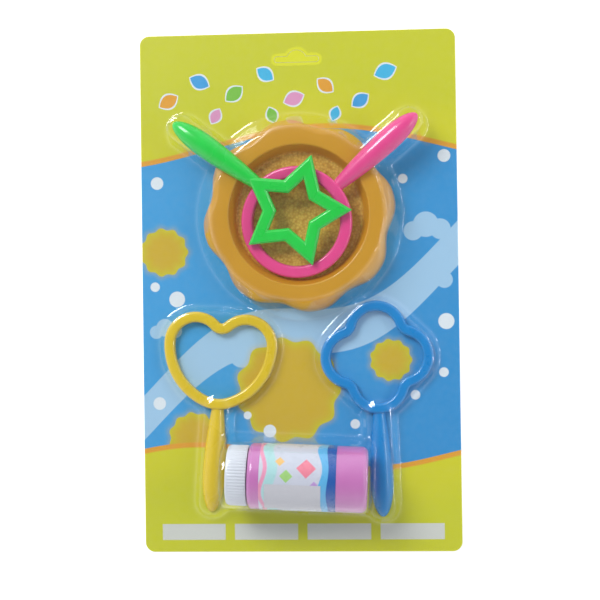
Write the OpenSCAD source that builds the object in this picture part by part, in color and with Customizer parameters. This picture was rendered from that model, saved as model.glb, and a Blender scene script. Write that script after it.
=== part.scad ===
// Carded bubble wand set: a printed card with a clear formed blister over it.
// Under the blister lie a scalloped dish, four loop wands and a bottle of solution.
// Millimetres. The pack lies on its back: +Z out of the card's face, +Y to its top edge.
// The origin is the middle of the card's back face.

/* [Card] */
// Width of the card
card_w = 200; // [190:1:220]
// Height of the card
card_h = 328; // [318:1:360]
// Thickness of the board
card_t = 0.6; // [0.4:0.1:1.5]
// Radius of the card's corners
card_corner = 6; // [3:0.5:12]
// Width of the hang slot across its wings
slot_w = 28.5; // [24:0.5:36]
// Height of the slot's wings
slot_wing_h = 4; // [3:0.5:6]
// Width of the slot's hump
slot_hump_w = 13; // [10:0.5:16]
// Height of the slot from the fold to the top of the hump
slot_h = 8; // [7:0.5:9]
// Board left between the slot and the card's top edge
slot_drop = 11; // [6:0.5:14]
// Gap that the cutting die leaves round the slot's flap
die_gap = 0.2; // [0.1:0.05:0.4]

/* [Blister] */
// Thickness of the clear film
film_t = 0.5; // [0.3:0.1:0.8]
// Card left bare outside the film's edge
film_margin = 0.5; // [0.2:0.1:2]
// Gap between a pocket's wall and what lies in it
pocket_gap = 1; // [0.8:0.1:1.5]
// How far a pocket spreads from its top to the card
pocket_spread = 2; // [1:0.5:3]
// Radius round the top of a pocket
pocket_round = 3; // [2:0.5:4]
// Film cut away round the hang slot
slot_relief = 2; // [1:0.5:3]

/* [Tray] */
// Middle of the tray on the card
tray_at = [0.6, 47.6]; // [-60:0.1:60]
// Radius of the tray to the crown of its scallops
tray_r = 61; // [58:0.5:63]
// Number of scallops round the rim
scallop_count = 8; // [6:1:10]
// Depth of the dips between scallops
scallop_depth = 4.5; // [2:0.5:6]
// Direction of the first scallop
scallop_turn = 10; // [0:1:45]
// Height of the rim
tray_h = 12; // [10:0.5:14]
// Radius of the well at the rim
well_r = 43.5; // [42:0.5:46]
// How far the well's wall leans in
well_lean = 3; // [1.5:0.5:4]
// Thickness of the tray's wall
tray_wall = 1.5; // [1:0.1:2]
// Height of the well's floor underside above the card
floor_lift = 0.7; // [0.3:0.1:1.5]
// Width of the rounded shoulder outside the rim
rim_round = 6.5; // [4:0.5:9]

/* [Wand handles] */
// Length of a handle outside its loop
handle_l = 65; // [58:1:70]
// Distance from the neck to the widest place
handle_peak = 42; // [34:1:46]
// Half width at the neck
neck_r = 4; // [3:0.1:4.5]
// Half width at the widest place
handle_r = 7.3; // [6.5:0.1:8]
// Wall of the open backed handle
handle_wall = 1.6; // [1.2:0.1:2.5]
// Solid stretch at the neck
neck_solid = 7; // [4:0.5:12]
// Number of ribs across the open back
rib_count = 4; // [2:1:8]
// Thickness of a rib
rib_t = 1.2; // [0.8:0.1:2]

/* [Wand loops] */
// Height of every loop's bar
bar_h = 5; // [4:0.1:6]
// Rounding on the bar's upper edges
bar_round = 1.8; // [0.8:0.1:2]
// Outer radius of the ring
ring_r = 35; // [33:0.5:36]
// Width of the ring's bar
ring_bar = 7.6; // [5:0.1:9]
// Middle of the ring on the card
ring_at = [-0.5, 43.3]; // [-60:0.1:60]
// Direction of the ring wand's handle
ring_dir = 40.5; // [30:0.5:50]
// Radius to the star's points
star_r = 36; // [33:0.5:37]
// Radius to the star's inner corners
star_notch_r = 20; // [18:0.5:22]
// Width of the star's bar
star_bar = 8; // [5:0.1:9]
// Bevel on the star's upper edges
star_bevel = 1.4; // [0.5:0.1:2]
// Middle of the star on the card
star_at = [-1.4, 50.1]; // [-60:0.1:60]
// Direction of the star wand's handle
star_dir = 143.5; // [135:0.5:155]
// Radius of the heart's lobes
heart_lobe_r = 20; // [18:0.25:21]
// Radius in the heart's cleft
heart_cleft_r = 2.5; // [1:0.25:4]
// Radius round the heart's lower point
heart_tip_r = 7.5; // [7:0.25:10]
// Width of the heart's bar
heart_bar = 6.8; // [5:0.1:7]
// Height of the heart's lower point, from the card's middle
heart_y = -74; // [-80:0.1:-68]
// Gap between the heart's handle and the backed-off cap
heart_clear = 1.2; // [0.5:0.1:3]
// Turn of the heart wand on the card
heart_turn = -4; // [-6:0.5:0]
// Radius of the flower's four lobes
flower_lobe_r = 16.5; // [15:0.25:17]
// Radius in the dips between the lobes
flower_dip_r = 2.5; // [1.5:0.25:4]
// Width of the flower's bar
flower_bar = 6.6; // [5:0.1:8]
// Height of the flower's middle, from the card's middle
flower_y = -41.9; // [-48:0.1:-36]
// Gap between the flower's handle and the bottle's base
flower_clear = 1.35; // [0.5:0.05:3]
// Turn of the flower wand on the card
flower_turn = 1.5; // [0:0.5:4]

/* [Bottle] */
// Radius of the bottle's body
bottle_r = 20.2; // [18:0.2:21]
// Height of the body from its base to its shoulder
bottle_h = 73; // [66:0.5:74]
// Rounding at the base
base_round = 4; // [2:0.5:6]
// Rounding at the shoulder
shoulder_round = 3; // [1.5:0.5:5]
// Wall of the blown bottle
bottle_wall = 1; // [0.8:0.1:1.5]
// Radius of the neck
neck_outer_r = 14; // [12:0.2:15]
// Wall of the neck
neck_wall = 1.8; // [1.4:0.1:2.4]
// Radius of the cap
cap_r = 18.6; // [17:0.2:20]
// Height of the cap
cap_h = 12.8; // [12:0.1:15]
// Thickness of the cap's side and top
cap_wall = 1.5; // [1:0.1:2]
// Number of grip ribs round the cap
cap_ribs = 60; // [36:2:72]
// Depth between the grip ribs
cap_rib_depth = 0.4; // [0.2:0.1:0.8]
// Bevel round the cap's top
cap_edge = 1.2; // [0.6:0.1:2]
// How far the cap backs off in one turn
cap_pitch = 2.5; // [2:0.1:3]
// Gap between the cap's skirt and the shoulder
cap_gap = 0.5; // [0.3:0.1:1]
// Thickness of the foam liner in the cap
liner_t = 1.5; // [1:0.1:2.5]
// Share of the bottle's bore height that the solution fills as it lies
fill_share = 0.9; // [0.6:0.05:0.95]
// Height of the wrap label
label_h = 46.5; // [40:0.5:50]
// Distance from the base to the label
label_rise = 19; // [12:0.5:21]
// Thickness of the label and the sticker
label_t = 0.15; // [0.1:0.05:0.3]
// Width of the sticker along the bottle
sticker_w = 34; // [25:0.5:36]
// Height of the sticker round the bottle, as an angle
sticker_angle = 54; // [40:1:65]
// Distance from the label's lower edge to the sticker
sticker_shift = 9; // [6:0.5:10]
// Angle from the top of the laid bottle to the sticker
sticker_drop = 6; // [0:1:12]
// Middle of the capped bottle on the card
bottle_mid = [-1.6, -114.7]; // [-130:0.1:60]
// Turn of the bottle on the card
bottle_turn = -2.5; // [-5:0.5:0]

/* [Hidden] */

// Facets of true rounds, and of rounds inside hulls
round_fn = 96;
hull_fn = 32;
// Gap between a seated toy and what it lies on
seat = 0.3;
// Gap between a flat back and the card
rest_gap = 0.1;
// Gap between a glued wrapper and the wall under it
glue_gap = 0.02;
// Running gap of the cap on the neck
cap_clear = 0.3;
// Extra length that lets a cut pass right through
cut = 1;
// Thickness of the discs that shape a pocket
slice = 0.01;

function heading(a) = [cos(a), sin(a)];

// The bottle's base and its cap's end on the card
bottle_l = bottle_h + cap_gap + cap_h;
bottle_at = bottle_mid + bottle_l / 2 * heading(bottle_turn);
cap_end = bottle_mid - bottle_l / 2 * heading(bottle_turn);

// The two flat wands lie with their handles beside the bottle's ends
heart_at = [cap_end.x - cap_pitch - heart_clear - handle_r - (heart_y - cap_end.y) * tan(heart_turn), heart_y];
flower_at = [bottle_at.x + flower_clear + handle_r - (flower_y - bottle_at.y) * tan(flower_turn), flower_y];

// Heights above the card's back
face_z = card_t + rest_gap;
floor_z = floor_lift + tray_wall;

// The slot's lower edge, where its flap folds
slot_y = card_h / 2 - slot_drop - slot_h;

// Rounds of the outline: a rounded rectangle about the origin
module rounded_rect(w, h, r) {
    square([w - 2 * r, h], center = true);
    square([w, h - 2 * r], center = true);
    for (x = [-1, 1], y = [-1, 1])
        translate([x * (w / 2 - r), y * (h / 2 - r)])
            circle(r, $fn = round_fn);
}

// The hang slot: two wings with round ends and a hump, on the fold line, grown by g
module slot_shape(g) {
    wing_r = slot_wing_h / 2;
    hump_r = slot_hump_w / 2;
    translate([-slot_w / 2 + wing_r, -g])
        square([slot_w - 2 * wing_r, slot_wing_h + 2 * g]);
    for (x = [-1, 1])
        translate([x * (slot_w / 2 - wing_r), wing_r])
            circle(wing_r + g, $fn = round_fn);
    translate([0, slot_h - hump_r])
        intersection() {
            circle(hump_r + g, $fn = round_fn);
            translate([-slot_w, hump_r - slot_h - g])
                square([2 * slot_w, 2 * slot_h]);
        }
}

module backing_card() {
    color("gold")
        linear_extrude(card_t)
            difference() {
                rounded_rect(card_w, card_h, card_corner);
                translate([0, slot_y])
                    slot_shape(0);
            }
}

module hang_flap() {
    color("khaki")
        translate([0, slot_y, 0])
            linear_extrude(card_t)
                slot_shape(-die_gap);
}

// Section of a loop's bar: flat back at z = 0, upper edges rounded, centred on x = 0
module bar_section(w) {
    straight_h = bar_h - bar_round;
    translate([-w / 2, 0])
        square([w, straight_h]);
    translate([bar_round - w / 2, 0])
        square([w - 2 * bar_round, bar_h]);
    for (s = [-1, 1])
        translate([s * (w / 2 - bar_round), straight_h])
            circle(bar_round, $fn = hull_fn);
}

// A bar bent round the origin, from the +X axis on, with its outer edge at radius r
module bar_arc(r, angle, w) {
    rotate_extrude(angle = angle, $fn = round_fn)
        translate([r - w / 2, 0])
            bar_section(w);
}

// A straight bar from the origin along +Y, with its outer edge at x = 0 and the bar on its +X side
module bar_run(length, w) {
    translate([w / 2, length, 0])
        rotate([90, 0, 0])
            linear_extrude(length)
                bar_section(w);
}

// Half width of a handle at a distance t from the neck: a sine swell, then an elliptic end
function handle_half(t) =
    t < 0 ? neck_r :
    t < handle_peak ? neck_r + (handle_r - neck_r) * sin(90 * t / handle_peak) :
    handle_r * sqrt(max(0, 1 - pow((t - handle_peak) / (handle_l - handle_peak), 2)));

// Places along a handle where its half profile has a point, closer together at the round end
end_steps = 7;
swell_steps = 7;
handle_places = concat(
    [for (i = [0 : swell_steps]) handle_peak * i / swell_steps],
    [for (i = [1 : end_steps]) handle_peak + (handle_l - handle_peak) * sin(90 * i / end_steps)]
);

// Half of a turned handle, flat back down, from the origin along -Y, with a root inside the loop
module handle(root) {
    cavity_end = handle_l - 2 * handle_wall;
    rib_pitch = (cavity_end - neck_solid) / (rib_count + 1);
    difference() {
        rotate([90, 0, 0])
            rotate_extrude(angle = 180, $fn = round_fn)
                polygon(concat([[0, -root], [neck_r, -root]],
                               [for (t = handle_places) [handle_half(t), t]]));
        difference() {
            rotate([90, 0, 0])
                rotate_extrude($fn = round_fn)
                    polygon(concat([[0, neck_solid], [handle_half(neck_solid) - handle_wall, neck_solid]],
                                   [for (t = handle_places)
                                        if (t > neck_solid && t < cavity_end)
                                            [handle_half(t) - handle_wall, t]],
                                   [[0, cavity_end]]));
            for (i = [1 : rib_count])
                translate([-handle_r, -neck_solid - i * rib_pitch - rib_t / 2, -handle_r])
                    cube([2 * handle_r, rib_t, 2 * handle_r]);
        }
    }
}

// Raises the side of a flat toy that lies in the direction az, by a tilt in degrees
module tilted(az, tilt) {
    rotate(az)
        rotate([0, -tilt, 0])
            rotate(-az)
                children();
}

// Distance from a point along a heading to a round of radius r about the tray's middle
function to_round(at, a, r) =
    let (o = at - tray_at, b = o * heading(a))
    sqrt(b * b - o * o + r * r) - b;

// The tray's crown line, inside the foot of its leaning skirt
skirt_lean = 0.6;
crown_r = tray_r - skirt_lean;

// The ring leans with its far edge on the well's floor and its handle on the rim's inner edge
rim_z = face_z + tray_h;
well_z = face_z + floor_z;
ring_tilt = asin((rim_z - well_z) / (ring_r + to_round(ring_at, ring_dir, well_r)));
ring_z = well_z + seat + ring_r * sin(ring_tilt);
function ring_top(p) =
    ring_z + tan(ring_tilt) * ((p - ring_at) * heading(ring_dir)) + bar_h / cos(ring_tilt);

module ring_loop() {
    rotate_extrude($fn = round_fn)
        translate([ring_r - ring_bar / 2, 0])
            bar_section(ring_bar);
}

module ring_wand() {
    color("hotpink")
        translate([ring_at.x, ring_at.y, ring_z])
            tilted(ring_dir, ring_tilt)
                rotate(ring_dir + 90) {
                    ring_loop();
                    translate([0, -ring_r, 0])
                        handle(ring_bar / 2);
                }
}

// The star lies on three places: its handle on the rim's outer edge and two points on the ring.
// It also leans sideways, so its handle's middle needs a gap that keeps the lower edge clear.
star_step = 72;
star_rim_gap = 1.05;
star_foot_in = 2;
star_foot_r = star_r - star_foot_in;
star_rim_p = star_at + to_round(star_at, star_dir, crown_r - rim_round / 2) * heading(star_dir);
star_foot_a = star_at + star_foot_r * heading(star_dir - 2 * star_step);
star_foot_b = star_at + star_foot_r * heading(star_dir - 3 * star_step);
star_feet = [
    [star_rim_p.x, star_rim_p.y, rim_z + star_rim_gap],
    [star_foot_a.x, star_foot_a.y, ring_top(star_foot_a) + seat],
    [star_foot_b.x, star_foot_b.y, ring_top(star_foot_b) + seat]
];
star_normal = cross(star_feet[2] - star_feet[0], star_feet[1] - star_feet[0]);
star_slope = [-star_normal.x / star_normal.z, -star_normal.y / star_normal.z];
star_tilt = atan(norm(star_slope));
star_lean_az = atan2(star_slope.y, star_slope.x);
star_z = star_feet[0].z + star_slope * (star_at - star_rim_p);

// Distance from the star's middle to its edges, which scales with the star
function star_edge(tip, notch) =
    let (t = [tip, 0], n = notch * heading(star_step / 2))
    abs(t.x * n.y - t.y * n.x) / norm(n - t);
star_p = star_edge(star_r, star_notch_r);
// The place along the handled point where the point is as wide as the neck
star_tip_slope = star_notch_r * sin(star_step / 2) / (star_r - star_notch_r * cos(star_step / 2));
star_neck = star_r - neck_r / star_tip_slope;

// A star prism whose edges lie at the distances low and high from the middle, below and above
module star_prism(low, high, h) {
    linear_extrude(h, scale = high / low)
        polygon([for (i = [0 : 9])
            (low / star_p) * (i % 2 == 0 ? star_r : star_notch_r) * heading(i * star_step / 2 - 90)]);
}

module star_loop() {
    inner = star_p - star_bar;
    wall_h = bar_h - star_bevel;
    difference() {
        union() {
            star_prism(star_p, star_p, wall_h);
            translate([0, 0, wall_h])
                star_prism(star_p, star_p - star_bevel, star_bevel);
        }
        translate([0, 0, -cut])
            star_prism(inner, inner, bar_h + 2 * cut);
        translate([0, 0, wall_h])
            star_prism(inner, inner + star_bevel + cut, star_bevel + cut);
    }
}

module star_wand() {
    color("limegreen")
        translate([star_at.x, star_at.y, star_z])
            tilted(star_lean_az, star_tilt)
                rotate(star_dir + 90) {
                    star_loop();
                    translate([0, -star_neck, 0])
                        handle(0);
                }
}

// The heart, drawn on its corner: two half rounds on the far sides of a square
heart_side = 2 * heart_lobe_r + heart_cleft_r;
module heart_loop() {
    straight = heart_side - heart_tip_r;
    translate([heart_lobe_r, heart_side, 0])
        bar_arc(heart_lobe_r, 180, heart_bar);
    translate([heart_side, heart_lobe_r, 0])
        rotate(-90)
            bar_arc(heart_lobe_r, 180, heart_bar);
    translate([heart_side, heart_side, 0])
        rotate(180)
            bar_arc(heart_cleft_r + heart_bar, 90, heart_bar);
    translate([heart_tip_r, heart_tip_r, 0])
        rotate(180)
            bar_arc(heart_tip_r, 90, heart_bar);
    translate([0, heart_tip_r, 0])
        bar_run(straight, heart_bar);
    translate([heart_side, 0, 0])
        rotate(90)
            bar_run(straight, heart_bar);
}

// How far the rounded point lies inside the square's own corner
heart_point = heart_tip_r * (sqrt(2) - 1);
module heart_wand() {
    color("gold")
        translate([heart_at.x, heart_at.y, face_z])
            rotate(heart_turn) {
                translate([0, -heart_point, 0])
                    rotate(45)
                        heart_loop();
                handle(heart_bar / 2);
            }
}

// The flower: four half rounds joined by quarter rounds in the dips
flower_pitch = flower_lobe_r + flower_dip_r;
module flower_wand() {
    color("dodgerblue")
        translate([flower_at.x, flower_at.y, face_z])
            rotate(flower_turn) {
                for (k = [0 : 3])
                    rotate(90 * k) {
                        translate([0, flower_pitch, 0])
                            bar_arc(flower_lobe_r, 180, flower_bar);
                        translate([flower_pitch, flower_pitch, 0])
                            rotate(180)
                                bar_arc(flower_dip_r + flower_bar, 90, flower_bar);
                    }
                translate([0, -flower_pitch - flower_lobe_r, 0])
                    handle(flower_bar / 2);
            }
}

// Share of the scallops' depth by which the outline is drawn in at an angle
tray_fn = 80;
dip_sharpness = 3;
function scallop(a) = pow(abs(sin(scallop_count / 2 * (a - scallop_turn))), dip_sharpness);

// Points of the shoulder as shares of its width: inward, downward, then the share of the scallops
// and the direction of the wall's thickness
shoulder = [[1, 0, 0.7, 90], [0.5, 0.1, 0.9, 75], [0.12, 0.4, 1, 30], [0, 0.8, 1, 0]];
function shoulder_at(s, depth) =
    [crown_r - s[0] * rim_round - depth * cos(s[3]), tray_h - s[1] * rim_round - depth * sin(s[3]), s[2]];

// The tray's section as [radius, height, share of the scallops]: the upper skin outward from the
// middle, then the under skin back to it
well_fillet = 1.2;
rim_edge = 0.8;
well_floor_r = well_r - well_lean;
tray_section = concat(
    [[0, floor_z, 0],
     [well_floor_r - well_fillet, floor_z, 0],
     [well_floor_r, floor_z + well_fillet / 2, 0],
     [well_r - rim_edge, tray_h - rim_edge, 0],
     [well_r, tray_h, 0]],
    [for (s = shoulder) shoulder_at(s, 0)],
    [[tray_r, 0, 1],
     [tray_r - tray_wall, 0, 1]],
    [for (i = [len(shoulder) - 1 : -1 : 0]) shoulder_at(shoulder[i], tray_wall)],
    [[well_r + tray_wall / 2, tray_h - tray_wall, 0],
     [well_r - rim_edge + tray_wall, tray_h - rim_edge - tray_wall, 0],
     [well_floor_r + tray_wall, floor_z, 0],
     [well_floor_r, floor_lift, 0],
     [0, floor_lift, 0]]
);

module tray() {
    rings = len(tray_section) - 2;
    points = concat(
        [[0, 0, tray_section[0][1]]],
        [for (k = [1 : rings], i = [0 : tray_fn - 1])
            let (a = 360 * i / tray_fn, p = tray_section[k],
                 r = p[0] - p[2] * scallop_depth * scallop(a))
            [r * cos(a), r * sin(a), p[1]]],
        [[0, 0, tray_section[rings + 1][1]]]
    );
    last = len(points) - 1;
    function at(k, i) = 1 + k * tray_fn + i % tray_fn;
    faces = concat(
        [for (i = [0 : tray_fn - 1]) [0, at(0, i + 1), at(0, i)]],
        [for (k = [0 : rings - 2], i = [0 : tray_fn - 1]) each [
            [at(k, i), at(k, i + 1), at(k + 1, i + 1)],
            [at(k, i), at(k + 1, i + 1), at(k + 1, i)]]],
        [for (i = [0 : tray_fn - 1]) [last, at(rings - 1, i), at(rings - 1, i + 1)]]
    );
    color("orange")
        translate([tray_at.x, tray_at.y, face_z])
            polyhedron(points, faces);
}

// The bottle stands on the base plane here and is laid down with its cap to the left
label_r = bottle_r + glue_gap;
axis_z = face_z + label_r + label_t;
module laid_down() {
    translate([bottle_at.x, bottle_at.y, axis_z])
        rotate(bottle_turn)
            rotate([0, -90, 0])
                children();
}

neck_h = cap_gap + cap_h - cap_wall - liner_t - 2 * seat;
mouth_z = bottle_h + neck_h;
corner_steps = 6;
function corner(r, z, radius, from) =
    [for (i = [0 : corner_steps])
        let (a = from + 90 * i / corner_steps)
        [r + radius * cos(a), z + radius * sin(a)]];

module bottle_body() {
    inner_r = bottle_r - bottle_wall;
    inner_round = base_round - bottle_wall;
    bore_r = neck_outer_r - neck_wall;
    color("violet")
        laid_down()
            rotate_extrude($fn = round_fn)
                polygon(concat(
                    [[0, 0]],
                    corner(bottle_r - base_round, base_round, base_round, -90),
                    corner(bottle_r - shoulder_round, bottle_h - shoulder_round, shoulder_round, 0),
                    [[neck_outer_r, bottle_h], [neck_outer_r, mouth_z], [bore_r, mouth_z],
                     [bore_r, bottle_h - bottle_wall], [inner_r, bottle_h - shoulder_round]],
                    [for (p = corner(inner_r - inner_round, base_round, inner_round, 0))
                        [p.x, 2 * base_round - p.y]],
                    [[0, bottle_wall]]
                ));
}

module bubble_solution() {
    liquid_r = bottle_r - bottle_wall - seat;
    liquid_low = bottle_wall + seat;
    liquid_high = bottle_h - shoulder_round;
    bevel = base_round / 2;
    color("lightpink")
        intersection() {
            laid_down()
                rotate_extrude($fn = round_fn)
                    polygon([[0, liquid_low], [liquid_r - bevel, liquid_low], [liquid_r, liquid_low + bevel],
                             [liquid_r, liquid_high], [0, liquid_high]]);
            translate([-card_w / 2, -card_h / 2, 0])
                cube([card_w, card_h, axis_z - liquid_r + 2 * liquid_r * fill_share]);
        }
}

// A thin wrapper round the bottle, from an angle on, its lower edge at z
module wrapper(r, z, h, from, angle) {
    laid_down()
        translate([0, 0, z])
            rotate(from)
                rotate_extrude(angle = angle, $fn = round_fn)
                    translate([r, 0])
                        square([label_t, h]);
}

// Angle left open at the label's seam, underneath
label_seam = 8;
module bottle_label() {
    color("lightcyan")
        wrapper(label_r, label_rise, label_h, 180 + label_seam / 2, 360 - label_seam);
}

// The sticker runs down the near side from close to the top of the laid bottle
module bottle_sticker() {
    color("white")
        wrapper(label_r + label_t + glue_gap, label_rise + sticker_shift, sticker_w,
                -sticker_angle - sticker_drop, sticker_angle);
}

liner_z = mouth_z + seat;
module cap_liner() {
    color("whitesmoke")
        laid_down()
            translate([0, 0, liner_z])
                cylinder(r = neck_outer_r, h = liner_t, $fn = round_fn);
}

module bottle_cap() {
    cap_z = bottle_h + cap_gap;
    bore_r = neck_outer_r + cap_clear;
    // The top steps in a little from the valleys between the ribs
    top_r = cap_r - 2 * cap_rib_depth;
    color("white")
        laid_down()
            translate([0, 0, cap_z])
                difference() {
                    union() {
                        linear_extrude(cap_h - cap_edge)
                            polygon([for (i = [0 : 2 * cap_ribs - 1])
                                (cap_r - (i % 2) * cap_rib_depth) * heading(180 * i / cap_ribs)]);
                        translate([0, 0, cap_h - cap_edge])
                            cylinder(r1 = top_r, r2 = top_r - cap_edge, h = cap_edge, $fn = round_fn);
                    }
                    translate([0, 0, -cut])
                        cylinder(r = bore_r, h = cap_h - cap_wall + cut, $fn = round_fn);
                }
}

// A pocket over discs of radius r at the given places: spread at the card, rounded at the top z
arc_step = 30;
module pocket(places, r, z, g) {
    hull() {
        for (p = places)
            translate([p.x, p.y, g > 0 ? card_t : card_t - cut])
                cylinder(r = r + pocket_spread + g, h = film_t, $fn = hull_fn);
        for (p = places, a = [0 : arc_step : 90])
            translate([p.x, p.y, z + g - pocket_round * (1 - sin(a))])
                cylinder(r = r + g - pocket_round * (1 - cos(a)), h = slice, $fn = hull_fn);
    }
}

// Places on a laid wand, given in its own frame
function placed(at, turn, p) = at + [p.x * cos(turn) - p.y * sin(turn), p.x * sin(turn) + p.y * cos(turn)];
function handle_run(at, turn, start) =
    [placed(at, turn, [0, -start]), placed(at, turn, [0, -start - handle_l + handle_r])];

heart_mid = (heart_side - heart_lobe_r) / sqrt(2);
heart_up = (heart_side + heart_lobe_r) / sqrt(2) - heart_point;
heart_places = [for (x = [-heart_mid, heart_mid]) placed(heart_at, heart_turn, [x, heart_up])];
flower_places = [for (a = [0 : 90 : 270]) placed(flower_at, flower_turn, flower_pitch * heading(a))];

// Tops of the tilted handles above the card, at their widest place
ring_tip_z = ring_z + (ring_r + handle_l) * sin(ring_tilt) + handle_r;
star_tip_z = star_z + star_r * tan(star_tilt) + bar_h;

module pockets(g) {
    low_z = face_z + bar_h + pocket_gap;
    grip_z = face_z + handle_r + pocket_gap;
    high_z = max(ring_tip_z, star_tip_z) + pocket_gap;
    grip_w = handle_r + pocket_gap;
    // The tray's round pocket, stepped in above its rim
    hull() {
        translate([tray_at.x, tray_at.y, g > 0 ? card_t : card_t - cut])
            cylinder(r = tray_r + pocket_gap + pocket_spread + g, h = film_t, $fn = 2 * hull_fn);
        translate([tray_at.x, tray_at.y, rim_z - rim_round / 2])
            cylinder(r = tray_r + pocket_gap + g, h = slice, $fn = 2 * hull_fn);
        translate([tray_at.x, tray_at.y, high_z + g - pocket_round])
            cylinder(r = tray_r - rim_round + g, h = slice, $fn = 2 * hull_fn);
        translate([tray_at.x, tray_at.y, high_z + g])
            cylinder(r = tray_r - rim_round - pocket_round + g, h = slice, $fn = 2 * hull_fn);
    }
    // Channels for the two handles that cross the rim
    pocket(handle_run(ring_at, ring_dir + 90, ring_r), grip_w, high_z, g);
    pocket(handle_run(star_at, star_dir + 90, star_neck), grip_w, high_z, g);
    // Heads and handles of the two wands that lie on the card
    hull() {
        pocket(heart_places, heart_lobe_r + pocket_gap, low_z, g);
        pocket([placed(heart_at, heart_turn, [0, heart_tip_r])], heart_tip_r + pocket_gap, low_z, g);
    }
    pocket(handle_run(heart_at, heart_turn, 0), grip_w, grip_z, g);
    pocket(flower_places, flower_lobe_r + pocket_gap, low_z, g);
    pocket(handle_run(flower_at, flower_turn, flower_pitch + flower_lobe_r), grip_w, grip_z, g);
    // The bottle's arch
    arch_l = bottle_l + 2 * pocket_gap + cap_pitch;
    arch_r = bottle_r + pocket_gap + g;
    foot_z = card_t - axis_z - (g > 0 ? 0 : cut);
    hull()
        laid_down()
            translate([0, 0, -pocket_gap - g]) {
                for (a = [0 : arc_step : 90])
                    translate([0, 0, pocket_round * (1 - sin(a))])
                        cylinder(r = arch_r - pocket_round * (1 - cos(a)),
                                 h = arch_l + 2 * g - 2 * pocket_round * (1 - sin(a)), $fn = 2 * hull_fn);
                translate([foot_z, -arch_r - pocket_spread, -pocket_spread])
                    cube([film_t, 2 * (arch_r + pocket_spread), arch_l + 2 * g + 2 * pocket_spread]);
            }
}

module blister() {
    color("lightblue", 0.3)
        difference() {
            union() {
                translate([0, 0, card_t])
                    linear_extrude(film_t)
                        rounded_rect(card_w - 2 * film_margin, card_h - 2 * film_margin,
                                     card_corner - film_margin);
                intersection() {
                    pockets(film_t);
                    translate([-card_w / 2, -card_h / 2, card_t])
                        cube([card_w, card_h, card_w]);
                }
            }
            pockets(0);
            translate([0, slot_y, card_t - cut])
                linear_extrude(film_t + 2 * cut)
                    slot_shape(slot_relief);
        }
}

backing_card();
hang_flap();
blister();
tray();
ring_wand();
star_wand();
heart_wand();
flower_wand();
bottle_body();
bubble_solution();
bottle_label();
bottle_sticker();
cap_liner();
bottle_cap();
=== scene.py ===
import math

import bmesh
import bpy
from mathutils import Matrix, Vector


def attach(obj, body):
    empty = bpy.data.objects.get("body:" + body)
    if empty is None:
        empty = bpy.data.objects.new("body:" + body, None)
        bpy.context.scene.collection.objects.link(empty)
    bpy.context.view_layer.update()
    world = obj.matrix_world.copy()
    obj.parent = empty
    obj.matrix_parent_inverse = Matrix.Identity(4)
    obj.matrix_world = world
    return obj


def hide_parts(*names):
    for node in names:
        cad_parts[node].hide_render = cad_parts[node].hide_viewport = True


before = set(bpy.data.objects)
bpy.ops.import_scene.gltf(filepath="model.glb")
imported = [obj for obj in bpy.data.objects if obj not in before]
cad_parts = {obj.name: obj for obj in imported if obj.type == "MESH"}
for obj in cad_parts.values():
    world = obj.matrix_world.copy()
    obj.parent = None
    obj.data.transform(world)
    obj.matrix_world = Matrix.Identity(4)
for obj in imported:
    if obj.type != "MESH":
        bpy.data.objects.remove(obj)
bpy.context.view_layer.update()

# The backing card: a sheet of white board, printed on its face in yellow, blue and orange,
# glossed, and die-cut with round corners and a hang slot. The CAD board keeps its shape here.
mm = 0.001
card_w = 200 * mm
card_h = 328 * mm


class Value:
    """An output socket of a material: arithmetic on it adds Math nodes to that material."""

    def __init__(self, tree, socket=None):
        self.tree = tree
        self.socket = socket

    def node(self, kind, settings, inputs, output=0):
        """A new node, with its settings set first and then its sockets' values or links."""
        made = self.tree.nodes.new(kind)
        for name, setting in settings.items():
            setattr(made, name, setting)
        for name, value in inputs.items():
            if isinstance(value, Value):
                self.tree.links.new(value.socket, made.inputs[name])
            else:
                made.inputs[name].default_value = value
        return Value(self.tree, made.outputs[output] if made.outputs else None)

    def out(self, name):
        """Another output of the same node."""
        return Value(self.tree, self.socket.node.outputs[name])

    def math(self, operation, *terms):
        return self.node("ShaderNodeMath", {"operation": operation}, dict(enumerate(terms)))

    def __add__(self, other):
        return self.math("ADD", self, other)

    def __radd__(self, other):
        return self.math("ADD", other, self)

    def __sub__(self, other):
        return self.math("SUBTRACT", self, other)

    def __rsub__(self, other):
        return self.math("SUBTRACT", other, self)

    def __mul__(self, other):
        return self.math("MULTIPLY", self, other)

    def __rmul__(self, other):
        return self.math("MULTIPLY", other, self)

    def __truediv__(self, other):
        return self.math("DIVIDE", self, other)

    def __pow__(self, other):
        return self.math("POWER", self, other)

    def __abs__(self):
        return self.math("ABSOLUTE", self)

    def largest(self, other):
        return self.math("MAXIMUM", self, other)


def screen(red, green, blue):
    """A colour as a screen shows it, from 0 to 255, as the linear colour that a shader takes."""
    return (*[(part / 255) ** 2.2 for part in (red, green, blue)], 1)


def new_material(name):
    """An empty material and the Object coordinates in it."""
    material = bpy.data.materials.new(name)
    material.use_nodes = True
    material.node_tree.nodes.clear()
    place = Value(material.node_tree).node("ShaderNodeTexCoord", {}, {}, "Object")
    return material, place


def noise(place, scale, detail=2):
    return place.node("ShaderNodeTexNoise", {}, {"Vector": place, "Scale": scale, "Detail": detail})


def inside(distance, soft=0.5 * mm):
    """A mask that is 1 where a distance is below zero, with a soft edge."""
    return distance.node("ShaderNodeMapRange", {"interpolation_type": "SMOOTHSTEP"},
                         {"Value": distance, "From Min": soft / 2, "From Max": -soft / 2})


def away_from(x, y, middle):
    """The distance across the face from a point of it."""
    return ((x - middle[0]) ** 2 + (y - middle[1]) ** 2) ** 0.5


def waved(along, height, rate, start):
    """A wave along a coordinate: its height, its radians for each metre and where it starts."""
    return height * along.math("SINE", rate * along + start)


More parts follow.
